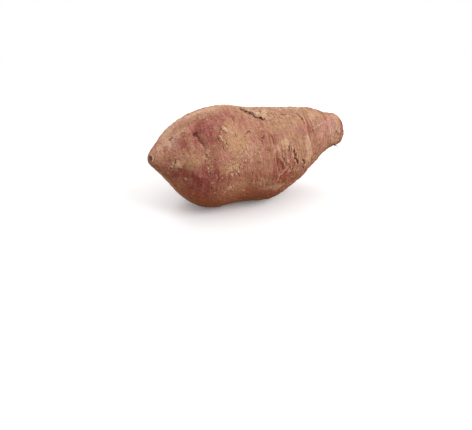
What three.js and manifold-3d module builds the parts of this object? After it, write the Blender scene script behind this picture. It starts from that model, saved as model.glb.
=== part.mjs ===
// A sweet potato: one grown root, plump in the middle, pinched in at a stem scar at one end and drawn
// out into a blunt nose at the other. It is one solid, with a small flat spot that it rests on.
// Millimetres. +X runs from the stem scar to the nose, +Z is up, and the flat spot lies at z = 0.
import * as THREE from "three";
import { mergeVertices } from "three/addons/utils/BufferGeometryUtils.js";
import Module from "manifold-3d";

// Driving dimensions. LENGTH is the root's, and a share is a share of LENGTH.
const LENGTH = 170;
const FLAT_SPOT = 1.2; // how deep the underside is pressed flat, measured up from its lowest point

// The root's form at eleven equally spaced stations, from the stem scar to the nose. SIDE and RISE place
// the middle of a cross-section, WIDE is its half width, HIGH how far it reaches above its middle, and
// FOOT the height of its underside.
const SIDE = [-0.072, -0.026, 0.004, 0.014, 0.014, 0.008, 0.002, 0.002, 0.012, 0.024, 0.028];
const RISE = [0.33, 0.308, 0.238, 0.238, 0.27, 0.24, 0.222, 0.264, 0.275, 0.288, 0.281];
const WIDE = [0.021, 0.116, 0.214, 0.24, 0.228, 0.234, 0.236, 0.184, 0.154, 0.084, 0.074];
const HIGH = [0.021, 0.114, 0.222, 0.242, 0.222, 0.218, 0.226, 0.168, 0.154, 0.084, 0.072];
const FOOT = [0.309, 0.196, 0.044, 0.008, 0.022, 0.016, 0.014, 0.084, 0.134, 0.206, 0.209];

// The two ends are rounded off: the share of the length that each takes, and how square its shoulder is.
const SCAR_END = { share: 0.012, squareness: 2 };
const NOSE_END = { share: 0.042, squareness: 2.4 };

// The scar faces a little forward and upward, so the sections lean near that end and stand upright
// again a quarter of the way along.
const SCAR_LEAN = { side: -0.5, rise: 0.35, fade: 0.25 };

// Swellings (positive) and hollows (negative) that grew on the plain form, each a soft mound.
// along: share of the length. around: degrees round the girth, 90 is up and 180 faces forward.
// reach and spread: how far the mound goes along (share) and around (degrees). rise: millimetres.
const SWELLINGS = [
  { along: 0.21, around: 122, reach: 0.028, spread: 17, rise: -1.9 }, // the dimple above the waist
  { along: 0.225, around: 158, reach: 0.026, spread: 30, rise: -1.6 }, // the waist, in front
  { along: 0.15, around: 165, reach: 0.055, spread: 30, rise: 0.9 }, // the cheek beside the scar
  { along: 0.13, around: 78, reach: 0.09, spread: 26, rise: -1.6 }, // the slope above the scar
  { along: 0.3, around: 150, reach: 0.06, spread: 34, rise: 0.8 }, // the belly past the waist
  { along: 0.56, around: 92, reach: 0.08, spread: 22, rise: -1.2 }, // the saddle on top
  { along: 0.705, around: 158, reach: 0.04, spread: 30, rise: 1.6 }, // the shoulder before the nose
  { along: 0.768, around: 140, reach: 0.022, spread: 38, rise: -1.7 }, // the crease behind the shoulder
  { along: 0.58, around: 187, reach: 0.06, spread: 9, rise: 1.1 }, // the keel low on the front
  { along: 0.62, around: 207, reach: 0.07, spread: 13, rise: -1.5 }, // the flat below the keel
  { along: 0.36, around: 20, reach: 0.05, spread: 34, rise: -1.5 }, // a hollow on the back
  { along: 0.52, around: 342, reach: 0.09, spread: 26, rise: 1.1 }, // a swelling on the back
  { along: 0.74, around: 12, reach: 0.035, spread: 36, rise: -1.3 }, // the nose's crease at the back
  { along: 0.19, around: 330, reach: 0.06, spread: 30, rise: -1.2 }, // a flat low on the back
];

// How finely the skin is divided.
const STEPS_AROUND = 64;
const STEPS_ALONG = 46;

// A smooth curve past a list of stations, by uniform cubic B-spline weights. `share` runs 0 to 1.
function station(values, share) {
  const last = values.length - 1;
  const place = share * last;
  const i = Math.min(Math.floor(place), last - 1);
  const f = place - i;
  const before = i > 0 ? values[i - 1] : 2 * values[0] - values[1];
  const after = i + 2 <= last ? values[i + 2] : 2 * values[last] - values[last - 1];
  return (
    ((1 - f) ** 3 * before +
      (3 * f ** 3 - 6 * f ** 2 + 4) * values[i] +
      (-3 * f ** 3 + 3 * f ** 2 + 3 * f + 1) * values[i + 1] +
      f ** 3 * after) /
    6
  );
}

// How full a section is near one end: 0 at the very end, rounding up to 1 where the end is finished.
function fullness(distance, end) {
  const left = 1 - Math.min(distance / end.share, 1);
  return (1 - left ** end.squareness) ** (1 / end.squareness);
}

// The height of all swellings together at one place on the skin, in millimetres.
function swelling(share, degrees) {
  return SWELLINGS.reduce((sum, s) => {
    const turned = THREE.MathUtils.euclideanModulo(degrees - s.around + 180, 360) - 180;
    const far = ((share - s.along) / s.reach) ** 2 + (turned / s.spread) ** 2;
    return sum + s.rise * Math.exp(-far);
  }, 0);
}

// The point of the skin at a share of the length and an angle round the girth.
function skinPoint(share, angle) {
  const wide = station(WIDE, share);
  const high = station(HIGH, share);
  const deep = station(RISE, share) - station(FOOT, share);
  const radius = ((wide + (high + deep) / 2) / 2) * LENGTH;
  const grown = 1 + swelling(share, THREE.MathUtils.radToDeg(angle)) / radius;
  const full = fullness(share, SCAR_END) * fullness(1 - share, NOSE_END);
  const side = wide * full * grown * Math.cos(angle);
  const rise = (Math.sin(angle) > 0 ? high : deep) * full * grown * Math.sin(angle);
  const lean = Math.max(1 - share / SCAR_LEAN.fade, 0) ** 2;
  const along = share - 0.5 + lean * (SCAR_LEAN.side * side + SCAR_LEAN.rise * rise);
  const point = new THREE.Vector3(along, station(SIDE, share) + side, station(RISE, share) + rise);
  return point.multiplyScalar(LENGTH);
}

// The whole skin: a sphere whose poles become the scar and the nose, each vertex moved to its place.
function rootSkin() {
  const skin = new THREE.SphereGeometry(1, STEPS_AROUND, STEPS_ALONG);
  const { position, uv } = skin.attributes;
  for (let i = 0; i < position.count; i++) {
    const share = (1 - Math.cos(Math.PI * (1 - uv.getY(i)))) / 2;
    const point = skinPoint(share, -2 * Math.PI * uv.getX(i));
    position.setXYZ(i, point.x, point.y, point.z);
  }
  return skin;
}

// A geometry as a solid for cutting, with the vertices that its faces share merged.
function toSolid(wasm, geometry) {
  const plain = geometry.clone();
  plain.deleteAttribute("normal");
  plain.deleteAttribute("uv");
  const merged = mergeVertices(plain, 1e-3);
  return new wasm.Manifold(
    new wasm.Mesh({
      numProp: 3,
      vertProperties: merged.attributes.position.array,
      triVerts: new Uint32Array(merged.index.array),
    }),
  );
}

// A solid as a geometry again.
function toGeometry(solid) {
  const mesh = solid.getMesh();
  const geometry = new THREE.BufferGeometry();
  geometry.setAttribute("position", new THREE.BufferAttribute(mesh.vertProperties, 3));
  geometry.setIndex(new THREE.BufferAttribute(mesh.triVerts, 1));
  geometry.computeVertexNormals();
  return geometry;
}

// The block of ground that presses the underside flat, up to `top`.
function groundBlock(top) {
  const block = new THREE.BoxGeometry(2 * LENGTH, 2 * LENGTH, LENGTH);
  block.translate(0, 0, top - LENGTH / 2);
  return block;
}

const wasm = await Module();
wasm.setup();

const skin = rootSkin();
skin.computeBoundingBox();
const flat = skin.boundingBox.min.z + FLAT_SPOT;
const root = toGeometry(toSolid(wasm, skin).subtract(toSolid(wasm, groundBlock(flat))));
root.computeBoundingBox();
const middle = root.boundingBox.getCenter(new THREE.Vector3());
root.translate(-middle.x, -middle.y, -flat);

const sweetPotato = new THREE.Mesh(
  root,
  new THREE.MeshStandardMaterial({ color: "#b07a5e", roughness: 0.85, metalness: 0 }),
);
sweetPotato.name = "sweet_potato";

const part = new THREE.Group();
part.add(sweetPotato);

export default part;
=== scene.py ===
"""A raw sweet potato: one grown root with a thin, earth-dusted skin, lying on its small flat spot."""
import math

import bpy
import numpy as np
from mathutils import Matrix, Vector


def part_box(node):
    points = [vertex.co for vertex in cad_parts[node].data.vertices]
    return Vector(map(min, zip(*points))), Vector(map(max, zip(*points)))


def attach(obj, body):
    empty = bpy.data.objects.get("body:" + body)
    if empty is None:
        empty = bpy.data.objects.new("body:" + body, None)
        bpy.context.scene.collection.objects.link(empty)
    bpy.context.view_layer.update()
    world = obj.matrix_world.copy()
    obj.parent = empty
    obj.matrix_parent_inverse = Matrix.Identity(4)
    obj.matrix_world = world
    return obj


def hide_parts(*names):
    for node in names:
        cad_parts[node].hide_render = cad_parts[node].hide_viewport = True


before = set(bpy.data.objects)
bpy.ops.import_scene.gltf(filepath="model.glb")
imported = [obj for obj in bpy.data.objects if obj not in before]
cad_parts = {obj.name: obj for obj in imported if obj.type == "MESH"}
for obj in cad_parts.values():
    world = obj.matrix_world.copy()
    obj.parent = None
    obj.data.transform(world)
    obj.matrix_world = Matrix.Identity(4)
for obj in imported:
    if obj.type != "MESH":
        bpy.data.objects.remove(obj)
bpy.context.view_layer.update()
mm = 0.001


# ---------------------------------------------------------------- the view
# A camera stands in front of the root and looks down on it, a little round towards the scar end. It is aimed
# to one side of the root and below it.
VIEW_AZIMUTH = math.radians(-22)
VIEW_ELEVATION = math.radians(27)
VIEW_DISTANCE = 891.6 * mm
VIEW_AIM_LEFT = 9.2 * mm
VIEW_AIM_BELOW = 48.0 * mm
VIEW_HEIGHT = 36.3 * mm
VIEW_MIDDLE = np.array([0.6 * mm, -1.0 * mm, VIEW_HEIGHT])

to_right = np.array([math.cos(VIEW_AZIMUTH), math.sin(VIEW_AZIMUTH), 0.0])
to_camera = np.array([
    math.sin(VIEW_AZIMUTH) * math.cos(VIEW_ELEVATION),
    -math.cos(VIEW_AZIMUTH) * math.cos(VIEW_ELEVATION),
    math.sin(VIEW_ELEVATION),
])
to_up = np.cross(to_camera, to_right)
aim = VIEW_MIDDLE - to_right * VIEW_AIM_LEFT - to_up * VIEW_AIM_BELOW

camera_data = bpy.data.cameras.new("camera")
camera_data.lens = 85
camera_data.sensor_width = 36
camera_data.clip_start = 0.01
camera = bpy.data.objects.new("camera", camera_data)
camera.location = aim + to_camera * VIEW_DISTANCE
camera.rotation_euler = (math.pi / 2 - VIEW_ELEVATION, 0, VIEW_AZIMUTH)
bpy.context.scene.collection.objects.link(camera)
bpy.context.scene.camera = camera


# ---------------------------------------------------------------- the root
# One swollen root of firm starchy flesh in a thin papery skin, which grew as one piece. It is plump in the
# middle, pinched in at the stem scar and drawn out to a blunt nose. Its form is the solid's own: eleven
# stations of cross-sections, from the stem scar to the nose, then soft swellings.
ROOT_LENGTH = 170 * mm
FLAT_SPOT = 1.2 * mm
SIDE = [-0.072, -0.026, 0.004, 0.014, 0.014, 0.008, 0.002, 0.002, 0.012, 0.024, 0.028]
RISE = [0.33, 0.308, 0.238, 0.238, 0.27, 0.24, 0.222, 0.264, 0.275, 0.288, 0.281]
WIDE = [0.021, 0.116, 0.214, 0.24, 0.228, 0.234, 0.236, 0.184, 0.154, 0.084, 0.074]
HIGH = [0.021, 0.114, 0.222, 0.242, 0.222, 0.218, 0.226, 0.168, 0.154, 0.084, 0.072]
FOOT = [0.309, 0.196, 0.044, 0.008, 0.022, 0.016, 0.014, 0.084, 0.134, 0.206, 0.209]
SCAR_END = (0.012, 2.0)
NOSE_END = (0.042, 2.4)
SCAR_LEAN = (-0.5, 0.35, 0.25)
# Each swelling or hollow: share of the length, degrees round the girth, reach along it as a share,
# spread round it in degrees, and height in millimetres. 90 degrees is up, and 180 faces forward.
SWELLINGS = [
    (0.21, 122, 0.028, 17, -1.9), (0.225, 158, 0.026, 30, -1.6), (0.15, 165, 0.055, 30, 0.9),
    (0.13, 78, 0.09, 26, -1.6), (0.3, 150, 0.06, 34, 0.8), (0.56, 92, 0.08, 22, -1.2),
    (0.705, 158, 0.04, 30, 1.6), (0.768, 140, 0.022, 38, -1.7), (0.58, 187, 0.06, 9, 1.1),
    (0.62, 207, 0.07, 13, -1.5), (0.36, 20, 0.05, 34, -1.5), (0.52, 342, 0.09, 26, 1.1),
    (0.74, 12, 0.035, 36, -1.3), (0.19, 330, 0.06, 30, -1.2),
]


def station(values, share):
    """A smooth curve past equally spaced values: the four nearest, weighted by the cubic B-spline."""
    v = np.array([2 * values[0] - values[1], *values, 2 * values[-1] - values[-2]])
    place = np.clip(share, 0, 1) * (len(values) - 1)
    i = np.minimum(place.astype(int), len(values) - 2)
    f = place - i
    return (
        (1 - f) ** 3 * v[i]
        + (3 * f**3 - 6 * f**2 + 4) * v[i + 1]
        + (-3 * f**3 + 3 * f**2 + 3 * f + 1) * v[i + 2]
        + f**3 * v[i + 3]
    ) / 6


def fullness(distance, end):
    """How full a section is near an end: one less the remaining share, to the end's squareness."""
    share, squareness = end
    left = 1 - np.clip(distance / share, 0, 1)
    return (1 - left**squareness) ** (1 / squareness)


def turned(degrees, middle):
    """The angle from middle to degrees, in degrees from -180 to 180."""
    return (degrees - middle + 180) % 360 - 180


def root_form(share, degrees):
    """The root without its skin's relief: an ellipse of half width and half height about the spine at each
    share of the length, grown by the sum of its Gaussian swellings, and leaning back at the scar."""
    angle = np.radians(degrees)
    wide, high = station(WIDE, share), station(HIGH, share)
    deep = station(RISE, share) - station(FOOT, share)
    radius = (wide + (high + deep) / 2) / 2 * ROOT_LENGTH
    grown = 1.0
    for along, around, reach, spread, height in SWELLINGS:
        far = ((share - along) / reach) ** 2 + (turned(degrees, around) / spread) ** 2
        grown = grown + height * mm * np.exp(-far) / radius
    full = fullness(share, SCAR_END) * fullness(1 - share, NOSE_END) * grown
    side = wide * full * np.cos(angle)
    rise = np.where(np.sin(angle) > 0, high, deep) * full * np.sin(angle)
    lean = np.clip(1 - share / SCAR_LEAN[2], 0, 1) ** 2
    x = share - 0.5 + lean * (SCAR_LEAN[0] * side + SCAR_LEAN[1] * rise)
    y = station(SIDE, share) + side
    z = station(RISE, share) + rise
    return np.stack(np.broadcast_arrays(x, y, z), axis=-1) * ROOT_LENGTH


ROWS = 250
COLUMNS = 396
END_CROWDING = 0.05
row_place = np.linspace(0, 1, ROWS)
near_end = np.minimum(row_place, 1 - row_place)
crowded = np.where(
    near_end < END_CROWDING, near_end**2 / (2 * END_CROWDING), near_end - END_CROWDING / 2
) / (1 - END_CROWDING)
row_share = np.where(row_place < 0.5, crowded, 1 - crowded)
share, degrees = np.meshgrid(row_share, np.arange(COLUMNS) * 360 / COLUMNS, indexing="ij")

# The form is set down where the solid is: its flat spot at the solid's foot, its middle over the solid's.
low, high = (np.array(corner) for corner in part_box("sweet_potato"))
plain = root_form(share, degrees)
form_low, form_high = plain.min(axis=(0, 1)), plain.max(axis=(0, 1))
shift = (low + high) / 2 - (form_low + form_high) / 2
shift[2] = low[2] - form_low[2] - FLAT_SPOT
plain = plain + shift

down_rows = np.gradient(plain, axis=0)
round_girth = np.roll(plain, -1, axis=1) - np.roll(plain, 1, axis=1)
outward = np.cross(round_girth, down_rows)
outward /= np.maximum(np.linalg.norm(outward, axis=-1, keepdims=True), 1e-12)
if (outward * (plain - plain.mean(axis=(0, 1)))).sum() < 0:
    outward = -outward

# The skin's relief is measured in millimetres outward from the plain form.
LATTICE = 32
OCTAVE_SHIFT = 7.3
CLOUD_GAIN = 1.7


def cloud(points, size, seed, octaves=3, stretch=(1, 1, 1)):
    """Smooth random heights of about -1 to 1. A random slope stands at each corner of a lattice of cubes one
    size wide, and the eight slopes round a point are blended by 6f^5 - 15f^4 + 10f^3. Each further octave is
    half as wide and half as strong. A stretch above 1 packs the pattern closer along that axis."""
    rng = np.random.default_rng(seed)
    slopes = rng.normal(size=(LATTICE**3, 3))
    slopes /= np.linalg.norm(slopes, axis=1, keepdims=True)
    place = points / (size * mm) * np.array(stretch) + rng.uniform(0, LATTICE, 3)
    total, weight = 0.0, 1.0
    for _ in range(octaves):
        cell = np.floor(place)
        f = place - cell
        fade = f * f * f * (f * (f * 6 - 15) + 10)
        cell = cell.astype(int)
        for corner in np.ndindex(2, 2, 2):
            step = np.array(corner)
            index = ((cell + step) % LATTICE) @ np.array([LATTICE**2, LATTICE, 1])
            near = np.prod(np.where(step, fade, 1 - fade), axis=-1)
            total = total + weight * near * ((f - step) * slopes[index]).sum(axis=-1)
        place = place * 2 + OCTAVE_SHIFT
        weight *= 0.5
    return total * CLOUD_GAIN


def drift(points, size, seed, reach):
    """The points pushed about by up to the reach in millimetres: a cloud of its own along each axis."""
    push = [cloud(points, size, seed + axis, octaves=2) for axis in range(3)]
    return points + np.stack(push, axis=-1) * reach * mm


def ease(start, end, value):
    """0 below start, 1 above end, and 3f^2 - 2f^3 between them."""
    f = np.clip((value - start) / (end - start), 0, 1)
    return f * f * (3 - 2 * f)


def bell(distance, width):
    """1 at no distance, falling as a Gaussian curve of the given width."""
    return np.exp(-((distance / width) ** 2))


# A line is looked for inside its box, grown by an edge, and marks only what lies within its reach.
BOX_EDGE = 12 * mm
LINE_REACH = 9 * mm
OUT_OF_REACH = 99.0


def trail(places):
    """A line over the skin through (share, degrees) places. Gives how far each grid point lies to one side
    of it, in millimetres, and how full the line is there: 0 at its ends, 1 between."""
    places = np.array(places, float)
    knots = np.linspace(0, 1, len(places))
    steps = np.linspace(0, 1, 24 * len(places))
    line = root_form(np.interp(steps, knots, places[:, 0]), np.interp(steps, knots, places[:, 1])) + shift
    inside = np.all((plain > line.min(axis=0) - BOX_EDGE) & (plain < line.max(axis=0) + BOX_EDGE), axis=-1)
    apart = jagged[inside][:, None] - line[None]
    nearest = (apart**2).sum(axis=-1).argmin(axis=1)
    apart = apart[np.arange(len(nearest)), nearest]
    ahead = np.gradient(line, axis=0)[nearest]
    across = np.cross(outward[inside], ahead)
    across /= np.linalg.norm(across, axis=-1, keepdims=True)
    aside = np.full(plain.shape[:2], OUT_OF_REACH)
    full = np.zeros(plain.shape[:2])
    aside[inside] = (apart * across).sum(axis=-1) / mm
    near = np.linalg.norm(apart, axis=-1) < LINE_REACH
    full[inside] = ease(0, 0.2, steps[nearest]) * (1 - ease(0.8, 1, steps[nearest])) * near
    return aside, full


# How far above or below the skin at a place, in millimetres, its own side of the root ends and the other
# begins, and how much further off a point on the other side is put.
SAME_SIDE, OTHER_SIDE = 10, 20
PUT_OFF = 60


def beside(along, around, turn=0.0, points=None):
    """How far each point lies from one place on the skin, in millimetres: ahead along the root, and round
    the girth, in a frame turned in the skin by some degrees. Points far above or below the skin there, on
    another side of the root, are put further off."""
    steps = ((0, 0), (0.004, 0), (0, 1.0))
    middle, ahead, round_it = (root_form(np.array(along + a), np.array(around + b)) + shift for a, b in steps)
    ahead = (ahead - middle) / np.linalg.norm(ahead - middle)
    round_it = round_it - middle
    round_it -= ahead * (round_it @ ahead)
    round_it /= np.linalg.norm(round_it)
    c, s = math.cos(math.radians(turn)), math.sin(math.radians(turn))
    apart = ((uneven if points is None else points) - middle) / mm
    u, v = apart @ (ahead * c + round_it * s), apart @ (round_it * c - ahead * s)
    beyond = ease(SAME_SIDE, OTHER_SIDE, np.abs(apart @ np.cross(ahead, round_it)))
    return u + np.copysign(PUT_OFF * beyond, u), v


# A patch narrower than this, in millimetres, has the finer ragged edge.
SMALL_PATCH = 4.5


def patch(along, around, reach, spread, soft=0.6, turn=0.0):
    """A blot about one place: 1 inside an ellipse of half sizes reach (along the root) and spread (round the
    girth) in millimetres, fading away over the soft share of its size at the edge."""
    u, v = beside(along, around, turn, jagged if min(reach, spread) < SMALL_PATCH else uneven)
    return 1 - ease(1 - soft, 1 + soft, np.sqrt((u / reach) ** 2 + (v / spread) ** 2))


def blots(places, soft=0.6):
    """The strongest of several patches at each point. Each place is a share of the length, degrees round the
    girth, reach, spread, and strength."""
    return np.max([strength * patch(*place, soft=soft) for *place, strength in places], axis=0)


# At each pole the grid's points fall together, so they share one outward direction.
for pole, ring in ((0, 1), (-1, -2)):
    outward[pole] = outward[ring].mean(axis=0)
    outward[pole] /= np.linalg.norm(outward[pole, 0])

# Edges of patches are drawn over points that are pushed about, so that none is a clean oval.
jagged = drift(drift(plain, 4, 21, 0.9), 1.8, 24, 0.45)
uneven = drift(drift(plain, 12, 31, 2.2), 4, 34, 0.9)
blank = np.zeros(plain.shape[:2])

# All over: a slow unevenness, low lumps, girth-wise wrinkles that grow towards the nose, and a fine grain.
wrinkled = 0.5 + 0.7 * ease(0.4, 0.65, share)
height = -0.4 + 0.35 * cloud(plain, 26, 1, octaves=1) + 0.2 * cloud(plain, 9, 2, octaves=2)
height += 0.28 * wrinkled * cloud(plain, 7, 3, octaves=3, stretch=(3.4, 1, 1))
height += 0.3 * cloud(plain, 2.8, 4, octaves=2)

# Broad soft rises and hollows, by their height in millimetres. Among them a shallow trough runs round before
# the shoulder, which stands a little proud of it.
for *place, rise in [
    (0.862, 84, 9, 15, 1.5), (0.56, 70, 26, 12, 0.5), (0.955, 72, 7, 12, 0.8),
    (0.155, 250, 14, 12, 1.7), (0.708, 215, 9, 9, 1.8), (0.145, 62, 14, 10, 1.0),
    (0.655, 212, 5, 8, -0.4), (0.70, 155, 7, 20, 0.7), (0.575, 164, 5, 16, -1.3),
    (0.10, 150, 12, 12, 0.7), (0.12, 196, 14, 5, -0.8),
]:
    height += rise * patch(*place, soft=0.9)

# Fine dark lines, which paint shade into slits and creases along with their own dark, are kept as the
# distance to one side of the nearest, counted in its own half widths, which stays sharp between the grid's
# points, and by how open that line is.
NO_LINE = 5.0
cut = np.full(plain.shape[:2], NO_LINE)
opened = blank.copy()


def nearer(cut, opened, aside, here):
    """Takes a further line wherever it lies nearer than the last, and lets it die away beyond 3 widths."""
    here = here * (1 - ease(2.5, 4.5, np.abs(aside)))
    closer = (np.abs(aside) < np.abs(cut)) & (here > 0.01)
    return np.where(closer, aside, cut), np.where(closer, here, opened)


# Bare places, where the dusky red of the skin shows, and a bare rim round the tail's end. Low down and in the
# hollows some of them also serve as painted shade.
flush_and_shade = blots([
    (0.265, 117, 14, 14, 1.2), (0.23, 146, 6, 9, 0.6), (0.180, 123, 9, 10, 1.0),
    (0.20, 106, 8, 8, 0.8), (0.225, 166, 9, 7, 0.8), (0.285, 182, 9, 5, 0.9),
    (0.40, 107, 12, 10, 0.9), (0.235, 173, 7, 6, 1.1), (0.185, 191, 17, 11, 1.5),
    (0.10, 198, 11, 8, 1.0), (0.16, 205, 14, 9, 1.2), (0.235, 191, 12, 8, 1.0),
    (0.31, 110, 6, 8, 0.7), (0.07, 198, 8, 6, 0.9), (0.49, 187, 12, 6, 0.4),
    (0.585, 171, 7, 12, 1.05), (0.56, 181, 6, 7, 0.9), (0.27, 168, 4, 12, 0.5),
    (0.548, 143, 4, 7, 0.75), (0.485, 155, 3, 14, 0.25), (0.39, 168, 3, 5, 0.5),
    (0.772, 138, 4.5, 7, 0.75), (0.516, 132, 5, 11, 0.5), (0.443, 193, 11, 5, 0.3),
    (0.05, 140, 8, 12, 0.35), (0.11, 155, 6, 7, 0.4), (0.32, 160, 4, 5, 0.3),
], soft=0.85)
flush_and_shade = np.maximum(flush_and_shade, 0.9 * ease(0.962, 0.976, share))

# Films of dried tan earth.
earth = blots([
    (0.37, 141, 9, 15, 1.0), (0.345, 122, 3, 4, 0.8), (0.345, 168, 10, 6, 0.6),
    (0.52, 98, 22, 6, 0.5), (0.645, 110, 7, 7, 0.7), (0.577, 124, 5, 5, 0.6),
    (0.625, 136, 4, 12, 0.4), (0.655, 122, 6, 8, 0.8), (0.71, 172, 6, 8, 0.6),
    (0.32, 86, 16, 7, 0.7), (0.15, 159, 8, 6, 0.6), (0.34, 198, 13, 7, 0.8),
    (0.20, 152, 5, 6, 0.2), (0.08, 180, 5, 5, 0.4), (0.24, 88, 12, 4, 0.5),
    (0.78, 106, 10, 9, 0.5), (0.602, 150, 4, 8, 0.8), (0.947, 152, 2.5, 13, 0.9),
    (0.86, 112, 5, 6, 0.7),
])

# The far side has its own bare places and films of earth, scattered in no order.
FAR_BLOTS = 26
scatter = np.random.default_rng(5)
for _ in range(FAR_BLOTS):
    along, around = scatter.uniform(0.06, 0.94), scatter.uniform(-95, 70)
    reach, spread, strength = scatter.uniform(4, 16), scatter.uniform(4, 12), scatter.uniform(0.55, 1.1)
    blot = strength * patch(along, around, reach, spread, turn=scatter.uniform(-40, 40))
    if scatter.random() < 0.5:
        flush_and_shade = np.maximum(flush_and_shade, blot)
    else:
        earth = np.maximum(earth, blot)

# Orange clay, rubbed on low down, which there also serves as painted shade for the warm dark underside.
clay_and_shade = blots([
    (0.24, 222, 22, 8, 1.0), (0.09, 262, 18, 9, 0.8), (0.53, 198, 16, 8, 0.6),
    (0.33, 206, 30, 9, 0.6), (0.45, 216, 36, 12, 0.8), (0.60, 194, 16, 10, 0.7),
    (0.42, 190, 26, 8, 0.4), (0.64, 210, 18, 10, 0.6), (0.306, 139, 3.5, 7, 0.6),
    (0.815, 172, 3, 5, 0.6), (0.35, 330, 34, 12, 0.5), (0.65, 320, 22, 10, 0.5),
    (0.30, 268, 34, 26, 0.9), (0.62, 262, 28, 18, 0.6),
], soft=0.9)

# Pale dust, on what lies open to it and on what stands proud. Along the top edge and the lower rim it is also
# painted highlight.
dust_and_highlight = blots([
    (0.044, 116, 8, 8, 0.3), (0.12, 106, 8, 7, 0.4), (0.06, 100, 7, 7, 0.6),
    (0.12, 68, 10, 6, 0.7), (0.17, 64, 12, 5, 0.9), (0.745, 86, 6, 5, 0.7),
    (0.80, 112, 6, 6, 0.4), (0.747, 183, 5, 6, 0.9), (0.92, 168, 5, 6, 0.5),
    (0.615, 149, 4, 5, 0.8), (0.655, 122, 5, 7, 0.3), (0.30, 87, 14, 4, 0.4),
    (0.740, 167, 4, 10, 1.1), (0.945, 150, 5, 13, 0.45), (0.585, 150, 8, 6, 0.4),
    (0.50, 194, 14, 6, 0.4), (0.09, 258, 16, 4, 0.8), (0.41, 160, 8, 9, 0.4),
    (0.45, 157, 6, 7, 0.35), (0.155, 68, 8, 7, 0.4), (0.55, 203, 10, 4, 0.7),
    (0.69, 88, 7, 2.5, 1.0), (0.685, 109, 4, 1.4, 1.0), (0.60, 80, 10, 3, 0.6),
    (0.28, 80, 18, 4, 0.8), (0.40, 78, 10, 4, 0.5), (0.53, 76, 16, 5, 0.8),
    (0.66, 78, 16, 5, 0.7), (0.04, 130, 8, 14, 0.4), (0.04, 180, 5, 6, 0.3),
    (0.85, 105, 8, 6, 0.3), (0.90, 60, 8, 9, 0.3), (0.45, 40, 9, 7, 0.4),
    (0.20, 20, 9, 9, 0.4),
])

# A pink bloom on the neck, a lilac one by the stem, and a hollow that is always in shade, painted dark:
# painted shade.
pink = blots([
    (0.915, 139, 5.5, 7, 1.0), (0.855, 150, 5, 6, 0.8), (0.83, 143, 6, 9, 0.45),
    (0.90, 20, 9, 9, 0.7),
])
lilac = patch(0.076, 122, 5, 4)
shade = 0.3 * patch(0.770, 138, 4, 6)

# A blunt ridge parts the front from the top beside the stem scar, painted paler along its crest.
aside, full = trail([(0.06, 106), (0.10, 107), (0.133, 106), (0.16, 105), (0.19, 103)])
height += full * (0.45 * bell(aside - 0.6, 1.6) - 0.25 * bell(aside + 2.0, 1.4))
dust_and_highlight = np.maximum(dust_and_highlight, 0.6 * full * bell(aside - 0.6, 1.3))

# A dimple high on the waist, with a furrow running down and round from it, both painted dark as shade.
u, v = beside(0.206, 117, points=jagged)
dimple = bell(np.hypot(u, 1.3 * v), 3.0)
aside, full = trail([
    (0.200, 111), (0.208, 118), (0.217, 128), (0.226, 139), (0.23, 147), (0.217, 158), (0.222, 168),
    (0.24, 178),
])
furrow = full * (1 - 0.6 * ease(134, 150, degrees)) * bell(aside, 1.5)
height -= 1.3 * dimple + 0.9 * furrow
shade = np.maximum(shade, np.maximum(0.9 * dimple, 0.75 * furrow))

# Growth cracks low on the shoulder: open slits between pale raised lips, painted dark inside as shade. Each
# has a depth, a half width at which it is dark, and its places.
LIP_PLACE = 1.8
SLIT_WIDTH = 0.9
for depth, width, places in [
    (0.9, 0.7, [(0.648, 155), (0.652, 162), (0.651, 168), (0.659, 174), (0.671, 180), (0.667, 185)]),
    (0.9, 0.65, [(0.698, 178), (0.701, 183), (0.713, 189), (0.703, 193), (0.699, 201)]),
    (0.7, 0.55, [(0.640, 177), (0.637, 181), (0.626, 184)]),
    (0.5, 0.4, [(0.586, 160), (0.593, 165), (0.602, 169), (0.611, 172)]),
    (0.5, 0.4, [(0.664, 186), (0.658, 193)]),
    (0.4, 0.35, [(0.629, 149), (0.629, 158)]),
]:
    aside, full = trail(places)
    lips = bell(np.abs(aside) - LIP_PLACE, SLIT_WIDTH)
    height += full * (0.5 * lips - depth * bell(aside, SLIT_WIDTH))
    dust_and_highlight = np.maximum(dust_and_highlight, 0.7 * full * bell(np.abs(aside) - LIP_PLACE + 0.1, SLIT_WIDTH))
    cut, opened = nearer(cut, opened, aside / width, full)
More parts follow.
